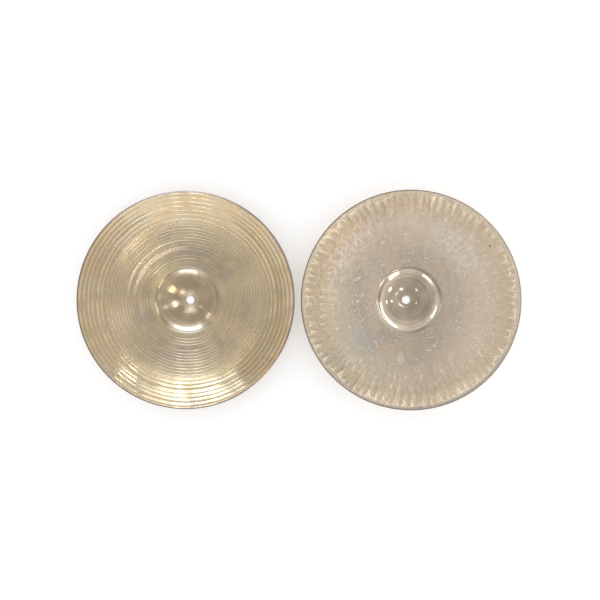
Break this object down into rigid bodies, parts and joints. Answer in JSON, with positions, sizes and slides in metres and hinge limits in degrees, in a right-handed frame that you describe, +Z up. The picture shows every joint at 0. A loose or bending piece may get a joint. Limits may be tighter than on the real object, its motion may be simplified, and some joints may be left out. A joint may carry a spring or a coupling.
{
  "type": "hi-hat cymbals",
  "caption": "Pair of bell-centred bronze cymbals laid side by side hollow side up: one lathed with fine concentric grooves, one deeper and hammered, each with a centre hole.",
  "frame": {"origin": "centre of the pair's footprint, on the surface that both bells rest on", "axes": "+X from the lathed cymbal to the hammered one, +Z up along both cymbals' axes, hollow sides facing +Z"},
  "size_m": [0.7218, 0.357, 0.0396],
  "materials": {
    "lathed_bronze": null,
    "hammered_bronze": null
  },
  "bodies": {
    "lathed_cymbal": {"lathed_cymbal": "lathed_bronze"},
    "hammered_cymbal": {"hammered_cymbal": "hammered_bronze"}
  },
  "joints": [
    {"name": "hammered_cymbal_lift", "type": "slide", "parent": "lathed_cymbal", "child": "hammered_cymbal", "axis": [0, 0, 1], "range_m": [0, 0.15]}
  ]
}
